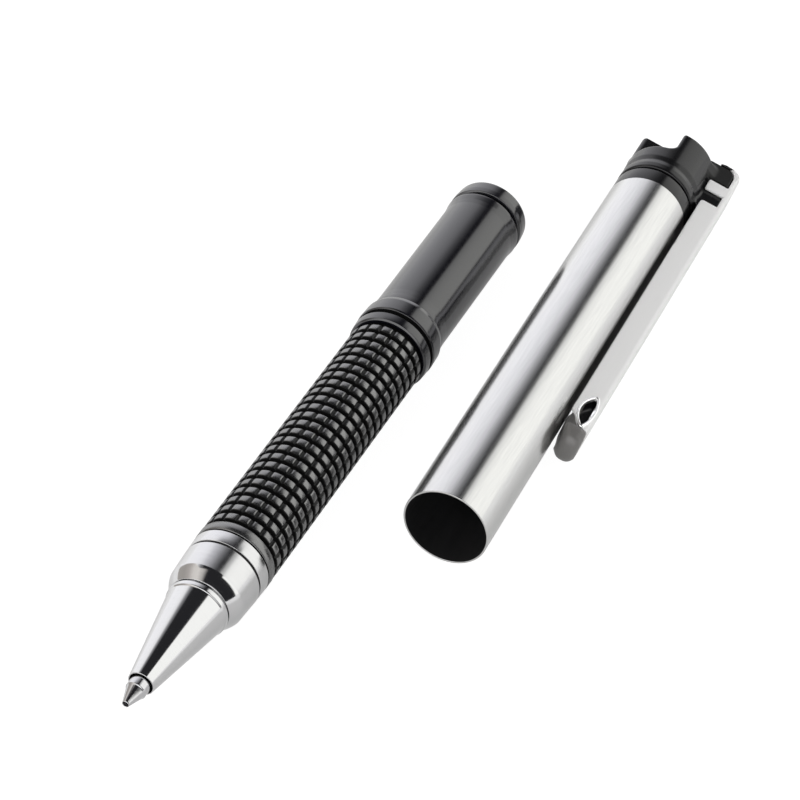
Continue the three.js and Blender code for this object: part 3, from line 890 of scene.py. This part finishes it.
CROWN_RADIUS = 5.0
CROWN_START = 64.95
CROWN_END = 73.1
CROWN_SOFT = 0.3
WAIST_MIDDLE = 66.7
WAIST_HALF = 0.8
WAIST_DEPTH = 0.14
CUT_FLOOR = 69.5
CUT_START = 0.6
CUT_ROOT = 1.1
FIN_HALF = 0.65
FIN_ROOT = 1.0
FIN_END = 74.25
FIN_SOFT = 0.5
BOSS = (66.0, 74.0)
BOSS_HALF = 2.05
BOSS_LEVELS = (2.5, 7.55)
BOSS_SOFT = 0.4
BOSS_FILLET = 0.2
FILLING = (71.0, 74.2)
FILLING_LEVELS = (3.6, 7.15)
FILLING_HALF = 2.42
FILLING_SOFT = 0.15
FILLING_FILLET = 0.6
FILLING_FADE = 0.5
FILLING_PAINT_HALF = 3.2
SOCKET_RADIUS = 4.2
SOCKET_END = 68.65

COVER_START = 21.5
COVER_END = 74.6
COVER_FOOT = 4.5
COVER_HALF = 2.5
COVER_TOP = 8.0
COVER_SOFT = 0.5
WINDOW_TOP = 7.25
SHEET = 0.4
END_SHEET = 0.22
END_ROUND = 1.8
HEEL_ROUND = 1.1
END_GAP = 0.35
CORNER_SHEET = 0.3
WINDOW_GAP = 0.1


def end_corner(along, out, top):
    """Distance past a rounded corner between the clip's end and a level above it."""
    beyond = np.maximum(along - COVER_END + END_ROUND, 0)
    above = np.maximum(out - top + END_ROUND, 0)
    return hypot(beyond, above) - END_ROUND


def end_heel(along, out):
    """Distance past the rounded lower corner of the clip's end."""
    beyond = np.maximum(along - COVER_END + HEEL_ROUND, 0)
    below = np.maximum(COVER_FOOT + HEEL_ROUND - out, 0)
    return hypot(beyond, below) - HEEL_ROUND


def crown_field(along, across, out):
    """A round end piece with a cut across it, a fin, and a boss that fills the clip's root."""
    wide = np.abs(across)
    radius = hypot(across, out)
    waist = WAIST_DEPTH * np.clip(1 - np.abs(along - WAIST_MIDDLE) / WAIST_HALF, 0, 1)
    body = meet(radius - CROWN_RADIUS + waist, slab(along, CROWN_START, CROWN_END), CROWN_SOFT)
    cut = meet(CUT_FLOOR - along, out + CUT_START, CUT_ROOT)
    body = meet(body, -cut, CROWN_SOFT)
    fin = meet(wide - FIN_HALF, slab(along, CUT_FLOOR - FIN_ROOT, FIN_END), CROWN_SOFT)
    fin = meet(meet(fin, radius - CROWN_RADIUS, FIN_SOFT), out, 0.0)
    boss = meet(wide - BOSS_HALF, slab(out, *BOSS_LEVELS), BOSS_SOFT)
    boss = meet(boss, slab(along, *BOSS), BOSS_FILLET)
    filling = meet(wide - FILLING_HALF, slab(along, *FILLING), FILLING_SOFT)
    filling = np.maximum(filling, end_corner(along, out, WINDOW_TOP) + WINDOW_GAP)
    boss = np.minimum(boss, meet(filling, slab(out, *FILLING_LEVELS), FILLING_SOFT))
    boss = np.maximum(boss, end_corner(along, out, COVER_TOP) + END_GAP)
    socket = np.maximum(radius - SOCKET_RADIUS, along - SOCKET_END)
    near_filling = np.clip((along - FILLING[0]) / FILLING_FADE, 0, 1)
    fillet = BOSS_FILLET + FILLING_FILLET * near_filling
    whole = join(join(body, fin, CROWN_SOFT), boss, fillet)
    return np.maximum(whole, -socket)


def crown_paint(along, across, out):
    """1 on and round the block that fills the upper window of the clip, otherwise 0. The block
    takes a duller black than the rest of the crown, as painted shade in the window.
    """
    beside = np.abs(across) < FILLING_PAINT_HALF
    return (along > FILLING[0]) & (out > FILLING_LEVELS[0]) & beside


moulded(
    "cap_crown",
    crown_field,
    (CROWN_START, -CROWN_RADIUS, -CROWN_RADIUS),
    (FIN_END, CROWN_RADIUS, BOSS_LEVELS[1]),
    "cap",
    [crown_black, rim_and_window_shade],
    crown_paint,
)

EYE_LEVEL = 6.92
EYE_MIDDLE = 24.32
EYE_HALF = 2.47
EYE_INNER_BULGE = 1.0
EYE_OUTER_BULGE = 0.55
EYE_TIP_ROUND = 0.1
EYE_BEAD = 0.16
EYE_RIM = 0.36
EYE_PAINT = 2.2 * EYE_BEAD
FLANGE_EDGE = 5.08
FLANGE_START = EYE_MIDDLE - 0.9
FLANGE_END = 66.7
FLANGE_ROUND = 0.45
END_PAINT = 0.32
LOBE_FILLET = 0.7
NOTCH_START = 56.7
NOTCH_LENGTH = 4.0
NOTCH_DEPTH = 0.12
STRAP = (69.0, 70.8)
STRAP_FOOT = 4.75


def eye_field(along, out):
    """The almond between two arcs."""
    inner_radius = (EYE_HALF**2 + EYE_INNER_BULGE**2) / (2 * EYE_INNER_BULGE)
    outer_radius = (EYE_HALF**2 + EYE_OUTER_BULGE**2) / (2 * EYE_OUTER_BULGE)
    inner_centre = EYE_LEVEL - EYE_INNER_BULGE + inner_radius
    outer_centre = EYE_LEVEL + EYE_OUTER_BULGE - outer_radius
    inner = hypot(along - EYE_MIDDLE, out - inner_centre) - inner_radius
    outer = hypot(along - EYE_MIDDLE, out - outer_centre) - outer_radius
    return meet(inner, outer, EYE_TIP_ROUND)


def flange_edge(along):
    """The level of the lower edge of the cover's sides, with its shallow notch."""
    share = np.clip((along - NOTCH_START) / NOTCH_LENGTH, 0, 1)
    return FLANGE_EDGE + NOTCH_DEPTH * np.sin(np.pi * share)


def cover_field(along, across, out):
    """A folded channel: two sides with an eye in each, a strap, an end wall and the outer face."""
    wide = np.abs(across)
    outside = meet(wide - COVER_HALF, out - COVER_TOP, COVER_SOFT)
    sheet = np.abs(outside + SHEET / 2) - SHEET / 2
    eye = eye_field(along, out)
    flange = slab(along, FLANGE_START, FLANGE_END)
    flange = meet(flange, flange_edge(along) - out, FLANGE_ROUND)
    lobe = meet(eye - EYE_RIM, COVER_START - along, 0.1)
    flange = meet(join(flange, lobe, LOBE_FILLET), -eye, 0.05)
    window = end_corner(along, out, WINDOW_TOP)
    top = meet(slab(along, COVER_START, COVER_END), -window, 0.12)
    strap = meet(slab(along, *STRAP), STRAP_FOOT - out, 0.2)
    shape = join(join(flange, strap, 0.1), top, 0.15)
    cover = meet(sheet, shape, 0.08)
    bend = end_corner(along, out, COVER_TOP)
    end = np.maximum(slab(along, COVER_END - END_SHEET, COVER_END), COVER_FOOT - out)
    corner = np.maximum(slab(bend, -CORNER_SHEET, 0), COVER_END - END_ROUND - along)
    corner = np.maximum(corner, COVER_TOP - END_ROUND - out)
    end = np.maximum(np.minimum(end, corner), outside)
    bead = hypot(eye - EYE_BEAD, wide - COVER_HALF) - EYE_BEAD
    whole = join(join(cover, end, 0.1), bead, 0.05)
    return meet(meet(whole, bend), end_heel(along, out))


def cover_paint(along, across, out):
    """1 on the rim of the eye, 2 on the end wall, otherwise 0."""
    rim = (np.abs(across) > COVER_HALF - SHEET / 2) & (eye_field(along, out) < EYE_PAINT)
    end = (along > COVER_END - END_PAINT) & (out < WINDOW_TOP - END_ROUND / 3)
    return rim + 2 * end


moulded(
    "clip_cover",
    cover_field,
    (COVER_START, -COVER_HALF, COVER_FOOT),
    (COVER_END, COVER_HALF, COVER_TOP),
    "clip",
    [clip_steel, eye_steel, crown_black],
    cover_paint,
)

ARM_START = 18.9
ARM_END = 65.7
ARM_TOP = 8.0
ARM_FOOT = 5.5
TIP_ROUND = 1.15
TIP_END = 21.45
ARM_SIDE = [
    *arc(ARM_START + TIP_ROUND, ARM_FOOT + TIP_ROUND, TIP_ROUND, 180, 270, 8),
    (22.4, 5.08),
    (23.4, 5.08),
    (25.9, 5.95),
    (56.7, 5.95),
    (57.7, 5.3),
    (59.7, 5.3),
    (60.7, 5.95),
    (ARM_END, 5.95),
    (ARM_END, 7.55),
    (TIP_END, 7.55),
    (TIP_END, ARM_TOP),
    *arc(ARM_START + TIP_ROUND, ARM_TOP - TIP_ROUND, TIP_ROUND, 90, 180, 8),
]
ARM_HALF = 2.05
WAIST_END = 30.0
WAIST_WIDTH = 1.5
ARM_PLAN = [
    (ARM_END, ARM_HALF),
    (WAIST_END, ARM_HALF),
    (WAIST_END, WAIST_WIDTH),
    (TIP_END, WAIST_WIDTH),
    (TIP_END, COVER_HALF),
    *arc(ARM_START + COVER_HALF, 0, COVER_HALF, 90, 270, 24),
    (TIP_END, -COVER_HALF),
    (TIP_END, -WAIST_WIDTH),
    (WAIST_END, -WAIST_WIDTH),
    (WAIST_END, -ARM_HALF),
    (ARM_END, -ARM_HALF),
]
ARM_SOFT = 0.3
TIP_SOFT = 0.8
TIP_SOFT_FROM = 21.6
TIP_SOFT_REACH = 1.2
HEEL_END = 23.3
HEEL_TOP = 6.4
UNDERSIDE = 6.1


def arm_field(along, across, out):
    """The arm under the cover, whose outline from the side meets its outline from above."""
    side = polygon_field(along, out, ARM_SIDE)
    plan = polygon_field(along, across, ARM_PLAN)
    near_tip = np.clip((TIP_SOFT_FROM - along) / TIP_SOFT_REACH, 0, 1)
    return meet(side, plan, ARM_SOFT + TIP_SOFT * near_tip)


def arm_paint(along, across, out):
    """1 outside the cover: on the arm's tip, the heel below the eye and the underside. There the
    arm takes a lit grey, painted light; under the cover it takes black, painted shade.
    """
    heel = (along < HEEL_END) & (out < HEEL_TOP)
    return (along < COVER_START) | heel | (out < UNDERSIDE)


moulded(
    "clip_arm",
    arm_field,
    (ARM_START, -COVER_HALF, 5.0),
    (ARM_END, COVER_HALF, ARM_TOP),
    "clip",
    [crown_black, arm_lit_grey],
    arm_paint,
)

# The studio

scene = bpy.context.scene
scene.view_settings.view_transform = "Standard"


def ramp(nodes, links, value, stops):
    """Colours by the turn round the sky, from 0 level towards -Y, over 90 straight up, to 180."""
    node = nodes.new("ShaderNodeValToRGB")
    elements = node.color_ramp.elements
    while len(elements) > 1:
        elements.remove(elements[-1])
    for k, (degrees, colour) in enumerate(stops):
        element = elements[0] if k == 0 else elements.new(degrees / 180)
        element.position = degrees / 180
        element.color = (*colour, 1)
    links.new(value, node.inputs["Fac"])
    return node.outputs["Color"]


RIGHT_LIGHT = (1.0, 1.0, 0.975)
LEFT_LIGHT = (0.93, 0.93, 0.95)
DARK = (0.018, 0.018, 0.020)
FILL_LIGHT = (1.25, 1.25, 1.25)
SKY_STRENGTH = 1.5

# The sky towards +X, overhead and towards -X, as turns in degrees and colours
FAR_SKY = (
    (0, RIGHT_LIGHT),
    (40, RIGHT_LIGHT),
    (54, (0.93, 0.93, 0.91)),
    (67, (0.74, 0.74, 0.73)),
    (72, DARK),
    (81, DARK),
    (96, (0.30, 0.30, 0.315)),
    (111, (0.68, 0.68, 0.715)),
    (127, (0.83, 0.83, 0.87)),
    (150, (0.92, 0.92, 0.96)),
    (180, (0.93, 0.93, 0.95)),
)
MIDDLE_SKY = (
    (0, RIGHT_LIGHT),
    (56, RIGHT_LIGHT),
    (60, DARK),
    (111, DARK),
    (121, (0.25, 0.25, 0.26)),
    (131, (0.85, 0.85, 0.86)),
    (145, LEFT_LIGHT),
)
NEAR_SKY = (
    (0, DARK),
    (96, DARK),
    (106, (0.46, 0.44, 0.42)),
    (120, (0.70, 0.67, 0.64)),
    (133, (0.65, 0.62, 0.59)),
    (146, (0.43, 0.40, 0.38)),
    (160, (0.35, 0.33, 0.31)),
    (180, (0.37, 0.35, 0.33)),
)

# How far towards +X the near sky ends, and where each sky gives way to the next
NEAR_END = (
    (0, (0, 0, 0)),
    (120, (0, 0, 0)),
    (140, (0.3, 0.3, 0.3)),
    (180, (0.3, 0.3, 0.3)),
)
NEAR_TO_MIDDLE = (0.0, 0.05)
MIDDLE_TO_FAR = (0.48, 0.62)
NEAR_TO_FILL = (-0.57, -0.66)


def sky():
    """A light on each side with a dark gap between them overhead, and a fill light in front.

    The sides' colours change along X in three steps. The camera sees plain white.
    """
    world = bpy.data.worlds.new("studio")
    scene.world = world
    world.use_nodes = True
    nodes, links = world.node_tree.nodes, world.node_tree.links
    background = nodes["Background"]
    background.inputs["Strength"].default_value = SKY_STRENGTH
    place = nodes.new("ShaderNodeTexCoord")
    split = nodes.new("ShaderNodeSeparateXYZ")
    links.new(place.outputs["Generated"], split.inputs["Vector"])
    flip = reckoned(nodes, links, "MULTIPLY", split.outputs["Y"], -1)
    turn = reckoned(nodes, links, "ARCTAN2", split.outputs["Z"], flip)
    share = reckoned(nodes, links, "DIVIDE", turn, math.pi)
    ahead = split.outputs["X"]
    past = reckoned(nodes, links, "SUBTRACT", ahead, ramp(nodes, links, share, NEAR_END))
    to_middle = spread_over(nodes, links, past, NEAR_TO_MIDDLE)
    to_far = spread_over(nodes, links, ahead, MIDDLE_TO_FAR)
    to_fill = spread_over(nodes, links, ahead, NEAR_TO_FILL)
    near = ramp(nodes, links, share, NEAR_SKY)
    middle = ramp(nodes, links, share, MIDDLE_SKY)
    far = ramp(nodes, links, share, FAR_SKY)
    colour = mixed_colour(nodes, links, to_middle, near, middle)
    colour = mixed_colour(nodes, links, to_far, colour, far)
    colour = mixed_colour(nodes, links, to_fill, colour, FILL_LIGHT)
    links.new(colour, background.inputs["Color"])
    white = nodes.new("ShaderNodeBackground")
    white.inputs["Color"].default_value = (1, 1, 1, 1)
    rays = nodes.new("ShaderNodeLightPath")
    choose = nodes.new("ShaderNodeMixShader")
    links.new(rays.outputs["Is Camera Ray"], choose.inputs["Fac"])
    links.new(background.outputs["Background"], choose.inputs[1])
    links.new(white.outputs["Background"], choose.inputs[2])
    links.new(choose.outputs["Shader"], nodes["World Output"].inputs["Surface"])


sky()

FLOOR_HALF = 3.0
FLOOR_LEVEL = -0.00002
FLOOR_WHITE = (0.9, 0.9, 0.9, 1)
FLOOR_ROUGHNESS = 0.9
FLOOR_GLOW = 1.27
CAMERA_GLOW = 0.74
MIRROR_GLOW = 0.25
FAR_GLOW = 0.85
GLOW_FROM = 0.018
GLOW_TO = 0.045


def floor_glow(nodes, links):
    """How much the floor glows instead of being lit: to the camera, and in reflections.

    In reflections it glows more away from the object, to both sides of it.
    """
    rays = nodes.new("ShaderNodeLightPath")
    to_camera = reckoned(nodes, links, "MULTIPLY", rays.outputs["Is Camera Ray"], CAMERA_GLOW)
    mirrored = reckoned(
        nodes, links, "MAXIMUM", rays.outputs["Is Glossy Ray"], rays.outputs["Is Transmission Ray"]
    )
    place = nodes.new("ShaderNodeTexCoord")
    split = nodes.new("ShaderNodeSeparateXYZ")
    links.new(place.outputs["Object"], split.inputs["Vector"])
    beside = reckoned(nodes, links, "ABSOLUTE", split.outputs["Y"])
    in_mirror = spread_over(
        nodes, links, beside, (GLOW_FROM, GLOW_TO), (MIRROR_GLOW, FAR_GLOW)
    )
    return reckoned(nodes, links, "MULTIPLY_ADD", mirrored, in_mirror, to_camera)


def floor():
    """A pale floor that is nearly white to the camera and keeps the object's soft shadow."""
    mesh = bpy.data.meshes.new("floor")
    corners = [(-1, -1), (1, -1), (1, 1), (-1, 1)]
    vertices = [(x * FLOOR_HALF, y * FLOOR_HALF, FLOOR_LEVEL) for x, y in corners]
    mesh.from_pydata(vertices, [], [(0, 1, 2, 3)])
    shown = bpy.data.objects.new("floor", mesh)
    scene.collection.objects.link(shown)
    material, nodes, links, shader = new_material("floor_white")
    shader.inputs["Base Color"].default_value = FLOOR_WHITE
    shader.inputs["Roughness"].default_value = FLOOR_ROUGHNESS
    shader.inputs["Specular IOR Level"].default_value = 0.0
    glow = nodes.new("ShaderNodeEmission")
    glow.inputs["Strength"].default_value = FLOOR_GLOW
    blend = nodes.new("ShaderNodeMixShader")
    links.new(floor_glow(nodes, links), blend.inputs["Fac"])
    links.new(shader.outputs["BSDF"], blend.inputs[1])
    links.new(glow.outputs["Emission"], blend.inputs[2])
    links.new(blend.outputs["Shader"], nodes["Material Output"].inputs["Surface"])
    mesh.materials.append(material)


floor()


def camera():
    level = math.cos(CAMERA_DROP)
    ahead = np.array(
        [
            level * math.cos(CAMERA_HEADING),
            level * math.sin(CAMERA_HEADING),
            -math.sin(CAMERA_DROP),
        ]
    )
    data = bpy.data.cameras.new("camera")
    data.sensor_width = CAMERA_SENSOR
    data.lens = CAMERA_LENS
    data.clip_start = CAMERA_NEAR
    shown = bpy.data.objects.new("camera", data)
    scene.collection.objects.link(shown)
    shown.location = (CAMERA_AIM - CAMERA_DISTANCE * ahead) * MM
    shown.rotation_euler = Vector(ahead).to_track_quat("-Z", "Y").to_euler()
    scene.camera = shown


camera()
